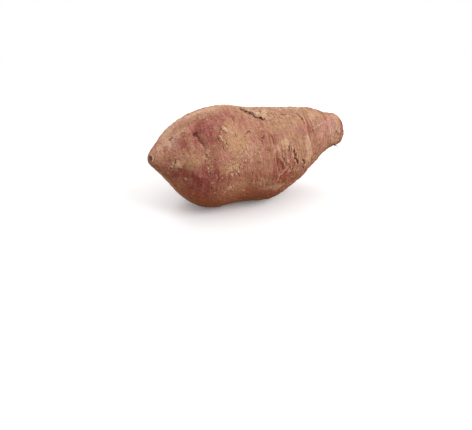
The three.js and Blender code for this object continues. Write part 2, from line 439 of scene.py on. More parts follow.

# Creases pinch the neck of the nose, mark the skin before it, and edge the flakes, most painted dark as
# shade. Each has a depth, a half width, how dark its painted shade is, and its places.
LEAST_CREASE = 0.8
for depth, width, dark, places in [
    (0.9, 1.1, 0.0, [
        (0.735, 92), (0.740, 105), (0.747, 118), (0.752, 128), (0.757, 142), (0.762, 152), (0.772, 162),
    ]),
    (0.8, 0.75, 1.0, [
        (0.703, 86), (0.724, 94), (0.738, 102), (0.745, 111), (0.752, 118), (0.754, 126), (0.748, 138),
    ]),
    (0.45, 0.35, 0.7, [(0.79, 94), (0.794, 100), (0.795, 108)]),
    (0.6, 0.45, 0.9, [(0.862, 80), (0.872, 92), (0.878, 101), (0.882, 112), (0.884, 121), (0.886, 126)]),
    (0.35, 0.4, 0.3, [(0.82, 118), (0.815, 132), (0.81, 148), (0.82, 160)]),
    (0.4, 0.5, 0.3, [(0.09, 95), (0.10, 109), (0.095, 122)]),
    (0.5, 0.45, 0.8, [(0.650, 98), (0.661, 102), (0.672, 103), (0.683, 104)]),
    (0.5, 0.4, 0.8, [(0.690, 103), (0.701, 107), (0.712, 108)]),
    (0.4, 0.4, 0.6, [(0.628, 106), (0.641, 108), (0.652, 112)]),
    (0.4, 0.5, 0.5, [(0.90, 20), (0.905, 45), (0.90, 66)]),
    (0.6, 0.7, 0.5, [(0.76, 60), (0.755, 30), (0.765, 0)]),
    (0.3, 0.4, 0.9, [(0.284, 126), (0.291, 131), (0.296, 136), (0.300, 141)]),
    (0.3, 0.4, 0.9, [(0.301, 142), (0.308, 147), (0.316, 151)]),
    (0.3, 0.35, 0.8, [(0.334, 119), (0.343, 121), (0.352, 125)]),
    (0.3, 0.35, 0.7, [(0.319, 137), (0.327, 143), (0.333, 147)]),
    (0.3, 0.35, 0.7, [(0.433, 137), (0.434, 133), (0.448, 131), (0.457, 134)]),
    (0.3, 0.35, 0.8, [(0.489, 133), (0.496, 137), (0.506, 138), (0.516, 138)]),
]:
    aside, full = trail(places)
    height -= depth * full * bell(aside, max(width, LEAST_CREASE))
    cut, opened = nearer(cut, opened, aside / width, dark * full)

# Thin pale ridges, where rootlets lay against the skin.
VEIN_HALF = 0.4
vein = np.full(plain.shape[:2], NO_LINE)
laid = blank.copy()
for places in [
    [(0.616, 174), (0.597, 177), (0.579, 181), (0.564, 184), (0.555, 189), (0.548, 193)],
    [(0.545, 213), (0.574, 205), (0.594, 200), (0.614, 197), (0.634, 196), (0.676, 205)],
    [(0.691, 212), (0.66, 214), (0.629, 216)],
    [(0.79, 145), (0.80, 140), (0.83, 136), (0.86, 133), (0.893, 129)],
    [(0.93, 140), (0.936, 150), (0.93, 165), (0.91, 180)],
    [(0.44, 10), (0.47, 2), (0.52, -4), (0.56, -3)],
]:
    aside, full = trail(places)
    height += 0.3 * full * bell(aside, 0.7)
    vein, laid = nearer(vein, laid, aside / VEIN_HALF, full)

# Films of pale mud that dried and broke into ragged islands, standing a little proud of the skin. Where the
# field is above 0 there is mud: in the heart of a place it nearly always is, and elsewhere here and there.
smeared = blots([
    (0.345, 168, 9, 8, 0.62), (0.38, 160, 7, 7, 0.5), (0.31, 163, 4, 4, 0.5),
    (0.337, 126, 2.6, 3.6, 0.95), (0.318, 144, 3, 5, 0.35), (0.29, 92, 12, 2.2, 0.45),
    (0.083, 180, 3.6, 3.4, 1.1), (0.10, 200, 3, 1.5, 0.4), (0.125, 204, 4, 1.5, 0.4),
    (0.235, 145, 1.2, 2.0, 1.2), (0.215, 136, 0.9, 1.5, 1.1), (0.213, 153, 1.2, 1.7, 1.1),
    (0.612, 93, 5, 2, 0.9), (0.066, 192, 2.0, 2.2, 0.5), (0.31, 190, 5, 2.5, 0.4),
    (0.33, 199, 12, 5, 0.3), (0.42, 206, 10, 3, 0.3), (0.335, 195, 4, 2, 0.9),
    (0.62, 176, 5, 5, 0.4), (0.49, 81, 12, 5, 0.8), (0.545, 92, 8, 6, 0.9),
    (0.570, 98, 4.5, 7, 1.3), (0.585, 92, 3, 4, 0.9), (0.60, 104, 5, 3, 0.4),
    (0.815, 172, 3, 4, 0.4), (0.37, 28, 9, 7, 0.7), (0.66, 345, 7, 6, 0.6),
    (0.19, 305, 8, 6, 0.6), (0.55, 250, 12, 9, 0.5), (0.80, 30, 6, 5, 0.5),
], soft=0.7)
mud = np.maximum(
    0.5 * cloud(plain, 3.4, 17, octaves=3) - 0.4,
    0.6 * cloud(plain, 4.5, 18, octaves=3) + 1.3 * smeared - 0.6,
)
height += 0.45 * ease(-0.05, 0.3, mud)

# Rootlet scars lie girth-wise in loose rows along the root: a dark slit under a low lip, its darkness partly
# painted shade. Each has a share, degrees, and half length in millimetres.
SCAR_ROWS = (20, 75, 160, 200, 232, 290, 335)
SCAR_SPACING = 0.085
SCARS_SHOWN = 0.75
scatter = np.random.default_rng(7)
scars = [
    (0.514, 136, 1.2), (0.379, 136, 1.6), (0.422, 140, 1.2), (0.320, 166, 1.6), (0.373, 172, 1.6),
    (0.371, 183, 1.8), (0.433, 183, 1.2), (0.395, 116, 1.2), (0.560, 178, 2.0), (0.236, 172, 1.0),
    (0.089, 100, 1.2), (0.080, 104, 1.0), (0.934, 165, 1.4), (0.946, 174, 1.0), (0.808, 168, 0.8),
    (0.820, 174, 0.8), (0.798, 176, 0.8), (0.965, 170, 1.6), (0.957, 178, 1.2),
]
for row_middle in SCAR_ROWS:
    for along in np.arange(0.09, 0.9, SCAR_SPACING):
        place = (along + scatter.uniform(-0.03, 0.03), row_middle + scatter.uniform(-16, 16))
        size = scatter.uniform(0.8, 2.2)
        if scatter.random() < SCARS_SHOWN:
            scars.append((*place, size))
for along, around, size in scars:
    u, v = beside(along, around, turn=scatter.uniform(-20, 20), points=jagged)
    slit = bell(v, size)
    height += 0.3 * bell(u + 1.3, 0.9) * bell(v, size * 1.2) - 0.6 * bell(u, 0.8) * slit
    cut, opened = nearer(cut, opened, u / scatter.uniform(0.3, 0.5), 0.9 * slit)

# Both ends are seats for scars: the stem's, a small oval, and the broken tail's, which is wide. Each has its
# half width and half height, and only what lies within the depth of an end belongs to it.
STEM_SCAR = (2.9, 3.5)
TAIL_SCAR = (8.6, 8.8)
END_DEPTH = 9.0


def end_frame(pole):
    """The middle of an end, the way that it faces, and two directions across it: level, and upward."""
    facing = outward[pole, 0]
    level = np.cross(facing, [0.0, 0.0, 1.0])
    level /= np.linalg.norm(level)
    return plain[pole, 0], facing, level, np.cross(level, facing)


def from_end(pole, sizes):
    """How far each grid point is from the middle of an end, as a share of the scar's half sizes there."""
    middle, facing, level, upward = end_frame(pole)
    apart = (plain - middle) / mm
    share_out = np.hypot(apart @ level / sizes[0], apart @ upward / sizes[1])
    return np.where(np.abs(apart @ facing) < END_DEPTH, share_out, OUT_OF_REACH)


stem_seat, tail_seat = from_end(0, STEM_SCAR), from_end(-1, TAIL_SCAR)
height += 0.35 * bell(stem_seat - 1.2, 0.22) - 1.6 * (1 - ease(0.8, 1.0, stem_seat))
height += 0.2 * bell(tail_seat - 1.1, 0.1) - 1.5 * (1 - ease(0.9, 1.0, tail_seat))

# The relief dies away towards the ground, so that the flat spot stays flat.
GROUND_CLEAR = 2.5 * mm
ground_clear = ease(0.0, GROUND_CLEAR, plain[..., 2] - low[2])
before_gash = plain + outward * (height * mm * ground_clear)[..., None]

# A long gash near the top, whose upper edge is pushed out over it. It starts as a mere crease, parts further
# on, and is bridged in one place. How far it gapes sets how dark it is painted: painted shade.
aside, full = trail([
    (0.446, 82), (0.456, 87), (0.470, 91.5), (0.485, 94.5), (0.499, 98), (0.512, 101.5), (0.526, 105),
    (0.540, 108), (0.556, 109.5),
])
ragged = 1 + 0.6 * cloud(plain, 2.4, 23, octaves=2)
parting = ease(0.455, 0.495, share)
height += full * (0.6 * bell(aside, 3.0) * (aside > 0) - (0.3 + 0.7 * parting) * bell(aside, 1.1) * ragged)
gaping = (0.15 + 0.85 * parting) * (1 + 1.8 * cloud(plain, 2.0, 25, octaves=2))
gaping = gaping * (1 - 0.8 * bell(share - 0.544, 0.005))
cut, opened = nearer(cut, opened, aside / (0.8 * ragged), full * gaping)

skin = plain + outward * (height * mm * ground_clear)[..., None]
skin[..., 2] = np.maximum(skin[..., 2], low[2])
skin = np.clip(skin, low, high)


def grid_mesh(name, grids, painted=(), material=None):
    """A closed mesh from one grid, or a stack of them, of rows round an axis: quads between the rows, and
    fans to a point at each end. painted holds grids of values by name, which become point attributes."""
    grids = grids.reshape(-1, *grids.shape[-3:])
    many, rows, columns = grids.shape[:3]

    def ends(values):
        """The rows between the ends, then one point for each end."""
        middle = values[:, 1:-1].reshape(many, -1, *values.shape[3:])
        joined = np.concatenate([middle, values[:, :1, 0], values[:, -1:, 0]], axis=1)
        return joined.reshape(-1, *values.shape[3:])

    count = (rows - 2) * columns
    index = np.arange(count).reshape(rows - 2, columns)
    beyond = np.roll(index, -1, axis=1)
    quads = np.stack([index[:-1], beyond[:-1], beyond[1:], index[1:]], axis=-1).reshape(-1, 4)
    start = np.stack([np.full(columns, count), beyond[0], index[0]], axis=-1)
    end = np.stack([np.full(columns, count + 1), index[-1], beyond[-1]], axis=-1)
    turns = np.arange(many)[:, None, None] * (count + 2)
    faces = [f for shape in (quads, start, end) for f in (turns + shape).reshape(-1, shape.shape[1]).tolist()]
    mesh = bpy.data.meshes.new(name)
    mesh.from_pydata(ends(grids), [], faces)
    for label, values in dict(painted).items():
        attribute = mesh.attributes.new(label, "FLOAT", "POINT")
        attribute.data.foreach_set("value", ends(values.reshape(many, rows, columns)).astype(np.float32))
    mesh.shade_smooth()
    if material:
        mesh.materials.append(material)
    piece = bpy.data.objects.new(name, mesh)
    bpy.context.scene.collection.objects.link(piece)
    return piece


# The finish: a dry papery skin, pinkish tan over dusky red, under dust and films of earth.
def seen(red, green, blue):
    """A colour as it is seen, 0 to 255, as the linear value that a shader takes."""
    c = np.array([red, green, blue]) / 255
    return (*np.where(c <= 0.04045, c / 12.92, ((c + 0.055) / 1.055) ** 2.4), 1.0)


# The colours of bare skin, dust, clay and blooms, specks, mud, and lines and hollows.
# Some colours also serve as painted light: dust as painted highlight, and the wine, clay, mud edge, crack and
# hollow colours as painted shade.
BARE_PINK, BARE_TAN, WINE_AND_SHADE = seen(164, 98, 84), seen(160, 100, 78), seen(146, 72, 66)
DUST_PINK, DUST_TAN, DUST_EARTH = seen(194, 141, 121), seen(192, 146, 113), seen(194, 149, 112)
CLAY_AND_SHADE, BLOOM_PINK, BLOOM_LILAC = seen(166, 87, 52), seen(204, 148, 138), seen(178, 132, 128)
DUST_AND_HIGHLIGHT, PORE, FLECK = seen(220, 180, 150), seen(116, 58, 36), seen(226, 184, 148)
MUD_TAN, MUD_PALE, MUD_EDGE_SHADOW = seen(191, 142, 107), seen(223, 180, 145), seen(136, 76, 46)
LIP, CRACK_AND_SHADE, THREAD, HOLLOW_SHADE = seen(222, 182, 150), seen(98, 26, 8), seen(224, 182, 158), seen(98, 42, 34)


def fill(tree, node, inputs):
    """Sets or joins a node's inputs, which are given by name or number."""
    for key, value in dict(inputs).items():
        if isinstance(value, bpy.types.NodeSocket):
            tree.links.new(value, node.inputs[key])
        else:
            node.inputs[key].default_value = value


def add(tree, kind, inputs=(), **settings):
    """Adds a node with its settings, and fills its inputs."""
    made = tree.nodes.new("ShaderNode" + kind)
    for key, value in settings.items():
        setattr(made, key, value)
    fill(tree, made, inputs)
    return made


def weighed(tree, start, *terms):
    """A start value, plus each further value times its weight."""
    total = start
    for value, weight in terms:
        total = add(tree, "Math", {0: value, 1: weight, 2: total}, operation="MULTIPLY_ADD").outputs[0]
    return total


def times(tree, a, b):
    """The product of two values."""
    return add(tree, "Math", {0: a, 1: b}, operation="MULTIPLY").outputs[0]


def ramp(tree, value, start, end, first=0.0, last=1.0):
    """A value eased from first to last as it goes from start to end."""
    limits = {"Value": value, "From Min": start, "From Max": end, "To Min": first, "To Max": last}
    return add(tree, "MapRange", limits, interpolation_type="SMOOTHSTEP").outputs["Result"]


def blend(tree, amount, under, over, kind="MIX"):
    """One colour laid over another."""
    made = add(tree, "Mix", {0: amount, 6: under, 7: over}, data_type="RGBA", blend_type=kind)
    return made.outputs[2]


def noise(tree, place, size, detail, rough=0.6):
    """A natural pattern whose largest grain is so many millimetres wide."""
    look = {"Vector": place, "Scale": 1 / (size * mm), "Detail": detail, "Roughness": rough}
    return add(tree, "TexNoise", look).outputs["Fac"]


def dots(tree, place, size, radius, shown):
    """Spots strewn about, one to each cell of so many millimetres: 1 at their middles, 0 beyond the radius,
    which is a share of the cell. Only a share of the cells, shown, have theirs."""
    cells = add(tree, "TexVoronoi", {"Vector": place, "Scale": 1 / (size * mm)}).outputs
    chosen = add(tree, "SeparateColor", {0: cells["Color"]}).outputs[0]
    chosen = add(tree, "Math", {0: chosen, 1: 1 - shown}, operation="GREATER_THAN").outputs[0]
    return times(tree, ramp(tree, cells["Distance"], radius, radius * 0.45), chosen)


def stretched_along(tree, place, amount):
    """The place, packed closer along the root, so that a pattern on it runs girth-wise."""
    return add(tree, "Mapping", {"Vector": place, "Scale": (amount, 1.0, 1.0)}).outputs["Vector"]


def painted(tree, label):
    """A mask that is painted on the mesh."""
    return add(tree, "Attribute", attribute_name=label).outputs["Fac"]


def new_material(name):
    """A material with its own nodes, its tree, and the place on the object that its patterns follow."""
    material = bpy.data.materials.new(name)
    material.use_nodes = True
    tree = material.node_tree
    return material, tree, add(tree, "TexCoord").outputs["Object"]


def finish_matt(tree, colour, height, depth, roughness, specular, more=()):
    """Joins the colour, and a bump as deep as depth in millimetres, to the material's shader, whose
    roughness and other values are the same all over."""
    bump = add(tree, "Bump", {"Height": height, "Distance": depth * mm})
    values = {"Base Color": colour, "Normal": bump.outputs["Normal"]}
    values |= {"Roughness": roughness, "Specular IOR Level": specular}
    fill(tree, tree.nodes["Principled BSDF"], values | dict(more))


# Patterns of the skin: slow mottling and tints, girth-wise streaks and fibres, and fine grain and specks.
papery_skin, tree, where = new_material("papery_skin")
mottle = noise(tree, where, 6, detail=3)
streaks = noise(tree, stretched_along(tree, where, 3.2), 12, detail=4)
fibres = noise(tree, stretched_along(tree, where, 8.0), 11, detail=3)
tints = noise(tree, where, 8, detail=2, rough=0.5)
grain = noise(tree, where, 1.3, detail=3, rough=0.75)
specks = noise(tree, where, 2.2, detail=2, rough=0.5)

# Pores and flecks sit at places that are shaken about, so that they are ragged.
shaken = add(tree, "TexNoise", {"Vector": where, "Scale": 1 / (1.2 * mm), "Detail": 2.0}).outputs["Color"]
shaken = add(tree, "VectorMath", {0: shaken, 3: 1.6 * mm}, operation="SCALE").outputs[0]
shaken = add(tree, "VectorMath", {0: where, 1: shaken}, operation="ADD").outputs[0]
pores = dots(tree, stretched_along(tree, shaken, 3.0), 4.2, 0.28, 0.25)
flecks = dots(tree, shaken, 3.0, 0.3, 0.22)

# The bare skin is dusky red, and dust clings to most of it: thinly where it is flushed or painted with shade,
# thickly where earth lies. Both wander between a pink and a yellow tint. Fine girth-wise fibres show towards
# the nose.
flushed_and_shaded, earthy, clay_and_shade_here = (painted(tree, label) for label in ("flush_and_shade", "earth", "clay_and_shade"))
lengthwise = add(tree, "SeparateXYZ", {0: where}).outputs["X"]
fibrous = weighed(tree, -0.5, (fibres, 1.0))
fibrous = times(tree, fibrous, ramp(tree, lengthwise, -25 * mm, 25 * mm, 0.5, 1.6))
tinted = ramp(tree, tints, 0.36, 0.64)
bare = blend(tree, tinted, BARE_PINK, BARE_TAN)
dusty = blend(tree, tinted, DUST_PINK, DUST_TAN)
dusty = blend(tree, times(tree, earthy, 0.7), dusty, DUST_EARTH)
unevenly = weighed(tree, -1.75, (mottle, 1.8), (streaks, 1.4), (grain, 0.4), (fibrous, 1.6))
flushed_and_shaded = times(tree, flushed_and_shaded, ramp(tree, unevenly, -0.5, 0.7, 1.25, 0.6))
bare = blend(tree, times(tree, flushed_and_shaded, 0.85), bare, WINE_AND_SHADE)
cling = weighed(tree, unevenly, (flushed_and_shaded, -1.0), (earthy, 0.9), (clay_and_shade_here, -0.5))
colour = blend(tree, ramp(tree, cling, -1.9, 1.3), bare, dusty)

# Clay, which also serves as painted shade, blooms, and pale dust, which also serves as painted highlight, lie
# over that, strongest at a number from 0 to 1. The pattern of the dust breaks up their edges.
for label, strongest, laid_on in [
    ("clay_and_shade", 0.7, CLAY_AND_SHADE),
    ("pink", 0.7, BLOOM_PINK),
    ("lilac", 0.5, BLOOM_LILAC),
    ("dust_and_highlight", 0.6, DUST_AND_HIGHLIGHT),
]:
    mask = painted(tree, label)
    broken = ramp(tree, weighed(tree, mask, (unevenly, 0.5)), 0.15, 0.85, 0.0, strongest)
    colour = blend(tree, times(tree, broken, ramp(tree, mask, 0.0, 0.3)), colour, laid_on)
lightness = weighed(tree, 0.27, (grain, 1.05), (specks, 0.5), (fibrous, 0.5))
grey = add(tree, "CombineColor", {0: lightness, 1: lightness, 2: lightness}).outputs[0]
colour = blend(tree, 1.0, colour, grey, kind="MULTIPLY")

# Short dark pores lie girth-wise all over, and specks of dried earth between them.
colour = blend(tree, times(tree, pores, 0.5), colour, PORE)
colour = blend(tree, times(tree, flecks, 0.5), colour, FLECK)

# Mud stands on the skin in islands with sharp edges, and a painted shadow darkens the skin round them where
# they lift.
crusted = weighed(tree, painted(tree, "mud"), (grain, 0.3), (1.0, -0.15))
on_mud = ramp(tree, crusted, -0.02, 0.08)
mud_colour = blend(tree, ramp(tree, grain, 0.35, 0.65), MUD_TAN, MUD_PALE)
colour = blend(tree, ramp(tree, crusted, -0.12, -0.01, 0.0, 0.4), colour, MUD_EDGE_SHADOW)
colour = blend(tree, times(tree, on_mud, 0.85), colour, mud_colour)

# Cracks and scars are painted dark within their width, partly their own dark and partly painted shade, and
# pale along their lips. Rootlet threads are pale.
off_cut = weighed(tree, painted(tree, "cut"), (specks, 2.2), (1.0, -1.1))
off_cut = add(tree, "Math", {0: off_cut}, operation="ABSOLUTE").outputs[0]
opened_here = painted(tree, "opened")
lip = times(tree, ramp(tree, off_cut, 0.9, 1.8), ramp(tree, off_cut, 3.4, 1.8))
colour = blend(tree, times(tree, times(tree, lip, opened_here), 0.45), colour, LIP)
depth_shown = ramp(tree, weighed(tree, opened_here, (mottle, 0.8)), 0.45, 1.1)
dark = times(tree, ramp(tree, off_cut, 1.2, 0.4), depth_shown)
colour = blend(tree, times(tree, dark, 0.85), colour, CRACK_AND_SHADE)
off_vein = add(tree, "Math", {0: painted(tree, "vein")}, operation="ABSOLUTE").outputs[0]
laid_here = ramp(tree, weighed(tree, painted(tree, "laid"), (specks, 1.0)), 0.7, 1.2)
pale = times(tree, ramp(tree, off_vein, 1.6, 0.6), laid_here)
colour = blend(tree, times(tree, pale, 0.7), colour, THREAD)
# Hollows, the dimple and the furrow are painted dark by the shade mask: painted shade.
colour = blend(tree, ramp(tree, painted(tree, "shade"), 0.25, 0.95), colour, HOLLOW_SHADE)
relief = weighed(
    tree, 0.0, (grain, 1.1), (specks, 1.0), (streaks, 0.8), (fibrous, 1.5), (mottle, 0.3),
    (on_mud, 0.3), (dark, -0.4), (pale, 0.25), (pores, -0.3), (flecks, 0.25),
)
sheen = {"Sheen Weight": 0.06, "Sheen Roughness": 0.4, "Sheen Tint": (1.0, 0.84, 0.74, 1.0)}
finish_matt(tree, colour, relief, 1.2, 0.8, 0.15, sheen)

skin_masks = {
    "flush_and_shade": flush_and_shade, "earth": earth, "clay_and_shade": clay_and_shade, "dust_and_highlight": dust_and_highlight, "pink": pink, "lilac": lilac,
    "shade": shade, "mud": mud, "cut": cut, "opened": opened, "vein": vein, "laid": laid,
}
root = grid_mesh("sweet_potato_skin", skin, skin_masks, papery_skin)
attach(root, "root")
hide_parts("sweet_potato")


# ---------------------------------------------------------------- the dried earth
# Field soil that dried on the root: a broken crust pushed over the gash, thin flakes, and loose crumbs
# stuck in its hollows. It is fine tan silt, brittle and quite matt.
def on_skin(along, around, grid=before_gash):
    """The skin's points and outward directions at any (share, degrees), each a blend of the four nearest
    points of the grid by how near they are."""
    row = np.interp(along, row_share, np.arange(ROWS))
    column = np.asarray(around) % 360 / 360 * COLUMNS
    i, j = np.minimum(row.astype(int), ROWS - 2), column.astype(int) % COLUMNS
    f, g = (row - i)[..., None], (column - np.floor(column))[..., None]
    k = (j + 1) % COLUMNS

    def blended(values):
        """The blend of the four."""
        low_row = values[i, j] * (1 - g) + values[i, k] * g
        return low_row * (1 - f) + (values[i + 1, j] * (1 - g) + values[i + 1, k] * g) * f

    normal = blended(outward)
    return blended(grid), normal / np.linalg.norm(normal, axis=-1, keepdims=True)


STEP_ALONG = 0.003
STEP_AROUND = 0.6


def sliver(stations, thickness, rows, columns, seed, sunk=0.5, lift=0.0):
    """A ragged plate of earth along a line of (share, degrees, half width in mm) stations. Each section is a
    flat lens: across it a point lies at the cosine of its angle times the half width, and above the skin at
    the thickness times the square root of the sine; the underside is sunk a little in the skin. The whole is
    tilted up on one side by the lift."""
    stations = np.array(stations, float)
    knots = np.linspace(0, 1, len(stations))
    steps = np.linspace(0, 1, rows)
    along, around, half = (np.interp(steps, knots, stations[:, k])[:, None] for k in range(3))
    rng = np.random.default_rng(seed)
    half = half * np.sqrt(np.clip(1 - (2 * steps[:, None] - 1) ** 4, 0, 1))
    angle = np.arange(columns) * 2 * math.pi / columns
    edge = np.stack(np.broadcast_arrays(steps[:, None], np.sin(angle) * 0.1, np.cos(angle) * 0.4), axis=-1)
    torn = np.clip(1 + 0.95 * cloud(edge * 24 * mm, 1.9, seed, octaves=3), 0.15, 2.0)
    middle, _ = on_skin(along[:, 0], around[:, 0])
    heading = np.gradient(middle, axis=0)
    heading /= np.linalg.norm(heading, axis=1, keepdims=True)
    a = on_skin(along[:, 0] + STEP_ALONG, around[:, 0])[0] - middle
    b = on_skin(along[:, 0], around[:, 0] + STEP_AROUND)[0] - middle
    a_size, b_size = (np.linalg.norm(v, axis=1, keepdims=True) for v in (a, b))
    ahead_a = (heading * a).sum(axis=1, keepdims=True) / a_size
    ahead_b = (heading * b).sum(axis=1, keepdims=True) / b_size
    across = half * mm * np.cos(angle) * torn
    along = along - across * ahead_b / a_size * STEP_ALONG
    around = around + across * ahead_a / b_size * STEP_AROUND
    place, normal = on_skin(along, around)
    lump = 1 + 0.5 * cloud(place, 3.0, seed + 1, octaves=3)
    over = np.sin(angle)
    rise = np.where(over >= 0, thickness * np.sqrt(np.abs(over)) * lump, sunk * over)
    taper = np.sqrt(np.clip(1 - (2 * steps[:, None] - 1) ** 6, 0, 1))
    rise = rise + lift * (0.5 + 0.5 * np.cos(angle)) ** 1.5
    return place + normal * (rise * taper * mm)[..., None]


dried_earth, tree, where = new_material("dried_earth")
clods = noise(tree, where, 2.5, detail=5, rough=0.7)
silt = noise(tree, where, 0.6, detail=2)
colour = blend(tree, ramp(tree, clods, 0.36, 0.62), seen(176, 134, 106), seen(212, 175, 145))
colour = blend(tree, ramp(tree, silt, 0.55, 0.7, 0.0, 0.4), colour, seen(140, 98, 72))
# Where the shade mask is set, as on the crust's underside, the earth is painted dark red-brown: painted
# shade.
shaded_underside = times(tree, painted(tree, "shade"), ramp(tree, clods, 0.42, 0.56, 0.75, 1.0))
colour = blend(tree, shaded_underside, colour, seen(98, 28, 10))
finish_matt(tree, colour, weighed(tree, clods, (silt, 0.5)), 0.6, 0.95, 0.15)

# The crust lies along the gash's upper side, and thickens to a clod at its end. Its underside is painted dark
# as shade.
CRUST = [
    (0.468, 84, 0.7), (0.480, 86, 1.7), (0.495, 88.5, 2.5), (0.510, 91, 3.1), (0.524, 94, 3.6),
    (0.538, 96.5, 4.6), (0.550, 98, 6.0), (0.560, 98.5, 6.4), (0.568, 98.5, 5.0), (0.575, 98, 2.4),
]
CRUST_ROWS = 150
CRUST_COLUMNS = 56
crust_grid = sliver(CRUST, 0.9, CRUST_ROWS, CRUST_COLUMNS, 43, sunk=0.2, lift=0.5)
facing_down = np.sin(np.arange(CRUST_COLUMNS) * 2 * math.pi / CRUST_COLUMNS) < 0.1
under = np.broadcast_to(facing_down * 1.0, crust_grid.shape[:2])
crust = grid_mesh("earth_crust", crust_grid, {"shade": under}, dried_earth)
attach(crust, "root")

# Each flake has its stations and its thickness. The third is the clod's lower half, below the gash.
FLAKES = [
    ([(0.073, 187, 1.0), (0.080, 182, 2.2), (0.087, 177, 2.0), (0.093, 173, 0.8)], 0.3),
    ([(0.060, 196, 0.6), (0.064, 192, 1.0), (0.068, 189, 0.7)], 0.25),
    ([
        (0.585, 84, 1.4), (0.578, 90, 2.8), (0.570, 97, 3.2), (0.562, 103, 2.8), (0.556, 108, 1.2),
    ], 1.5),
    ([(0.33, 121, 0.9), (0.335, 125, 1.9), (0.341, 128, 1.6), (0.345, 131, 0.7)], 0.5),
    ([(0.302, 131, 0.6), (0.308, 135, 1.1), (0.312, 139, 0.6)], 0.4),
    ([(0.668, 107, 0.5), (0.682, 109.5, 1.1), (0.70, 111, 0.6)], 0.35),
    ([(0.675, 86, 0.6), (0.69, 88, 1.1), (0.712, 91, 0.6)], 0.4),
    ([(0.708, 181, 0.7), (0.714, 184, 1.0), (0.722, 187, 0.6)], 0.7),
    ([(0.664, 213, 0.6), (0.674, 217, 1.3), (0.684, 220, 0.7)], 0.5),
    ([(0.33, 30, 1.2), (0.345, 26, 2.4), (0.36, 25, 1.4)], 0.5),
    ([(0.64, 342, 1.0), (0.655, 345, 1.8), (0.67, 350, 1.0)], 0.5),
    ([(0.17, 300, 1.0), (0.185, 304, 2.0), (0.2, 309, 1.2)], 0.5),
]
flake_grids = [sliver(line, thick, 26, 24, seed=50 + k) for k, (line, thick) in enumerate(FLAKES)]
flakes = grid_mesh("earth_flakes", np.stack(flake_grids), material=dried_earth)
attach(flakes, "root")

# Crumbs lie thinly everywhere, and thickly in some heaps. Each heap takes a range of the crumbs, and has a
# middle, a spread along and round, and the size of its largest crumb.
CRUMBS = 220
scatter = np.random.default_rng(9)
group = scatter.random(CRUMBS)
along = scatter.uniform(0.05, 0.93, CRUMBS)
around = scatter.uniform(0, 360, CRUMBS)
size = scatter.uniform(0.3, 0.75, CRUMBS)
for first, last, middle_along, middle_around, spread_along, spread_around, largest in [
    (0.0, 0.14, 0.34, 169, 0.035, 7, 0.8),
    (0.14, 0.22, 0.335, 128, 0.012, 4, 0.8),
    (0.22, 0.34, 0.566, 102, 0.010, 5, 1.5),
    (0.34, 0.40, 0.52, 95, 0.03, 3, 0.9),
    (0.40, 0.46, 0.80, 172, 0.02, 4, 0.7),
    (0.46, 0.54, 0.28, 94, 0.03, 4, 0.8),
    (0.54, 0.58, 0.774, 154, 0.005, 3, 0.7),
    (0.58, 0.66, 0.228, 158, 0.006, 9, 0.7),
]:
    here = (group >= first) & (group < last)
    along = np.where(here, middle_along + spread_along * scatter.normal(size=CRUMBS), along)
    around = np.where(here, middle_around + spread_around * scatter.normal(size=CRUMBS), around)
    size = np.where(here, scatter.uniform(0.4, largest, CRUMBS), size)
CRUMB_RINGS = 8
CRUMB_SIDES = 10
tip = np.linspace(0, math.pi, CRUMB_RINGS)[:, None]
turn = np.arange(CRUMB_SIDES) * 2 * math.pi / CRUMB_SIDES
upright = np.broadcast_to(np.cos(tip), (CRUMB_RINGS, CRUMB_SIDES))
ball = np.stack([np.sin(tip) * np.cos(turn), np.sin(tip) * np.sin(turn), upright], axis=-1)
stretched = scatter.uniform(0.7, 1.3, (CRUMBS, 1, 1, 3)) * ball
apart = np.arange(CRUMBS)[:, None, None, None] * 3.1
lumpy = 1 + 0.3 * cloud((stretched + apart) * 3 * mm, 3.2, 61, octaves=2)
place, normal = on_skin(np.clip(along, 0.03, 0.96), around, skin)
side = np.cross(normal, [1.0, 0.0, 0.0])
side /= np.linalg.norm(side, axis=1, keepdims=True)
ahead = np.cross(side, normal)
local = stretched * (lumpy * size[:, None, None] * mm)[..., None]
crumb_grid = (
    place[:, None, None]
    + local[..., 0:1] * ahead[:, None, None]
    + local[..., 1:2] * side[:, None, None]
    + (local[..., 2:3] * 0.6 + 0.1 * mm) * normal[:, None, None]
)
CRUMBS_CLEAR = 3 * mm
crumb_grid = crumb_grid[place[:, 2] > low[2] + CRUMBS_CLEAR]
crumbs = grid_mesh("earth_crumbs", np.clip(crumb_grid, low, high), material=dried_earth)
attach(crumbs, "root")


# ---------------------------------------------------------------- the end scars
# Where the root broke from its vine, and where its thin tail broke off. Each is a disc of dried woody fibre,
# dished inside a raised corky ring, grown shut by the root itself.
def scar(pole, sizes, profile, seed, rough, rings=26, columns=96):
    """A closed disc on an end: rings of an ellipse whose edge wavers, whose height over the end is read from
    the profile of (share of the radius, mm), roughened by a cloud and by another drawn out into rays; the
    underside is a sunk flat copy. Gives the disc, and its masks: the share of the radius, and the rays."""
    middle, facing, level, upward = end_frame(pole)
    out = np.concatenate([np.linspace(0, 1, rings), np.linspace(0.96, 0, 6)])[:, None]
    turn = np.arange(columns) * 2 * math.pi / columns
    rim = np.stack([np.cos(turn), np.sin(turn), 0 * turn], axis=-1) * 4 * mm
    waver = 1 + 0.10 * cloud(rim, 5, seed, octaves=2)
    spot = middle + out[..., None] * mm * waver[:, None] * (
        sizes[0] * np.cos(turn)[:, None] * level + sizes[1] * np.sin(turn)[:, None] * upward
    )
    shares, heights = zip(*profile)
    rise = np.interp(out, shares, heights)
    tufts = cloud(spot, 1.6, seed + 1, octaves=3)
    rise = rise + rough * tufts * np.minimum(out * 3, 1)
    around_it = np.stack(np.broadcast_arrays(6 * np.cos(turn), 6 * np.sin(turn), out), axis=-1) * mm
    rays = cloud(around_it, 1.4, seed + 2, octaves=3)
    rise = rise + rough * rays * np.minimum(out * 2, 1)
    top = (np.arange(len(out)) < rings)[:, None]
    rise = np.where(top, rise, np.interp(out, shares, heights) - 0.8)
    return spot + facing * (rise * mm)[..., None], {"outward": out + 0 * turn, "rays": rays}


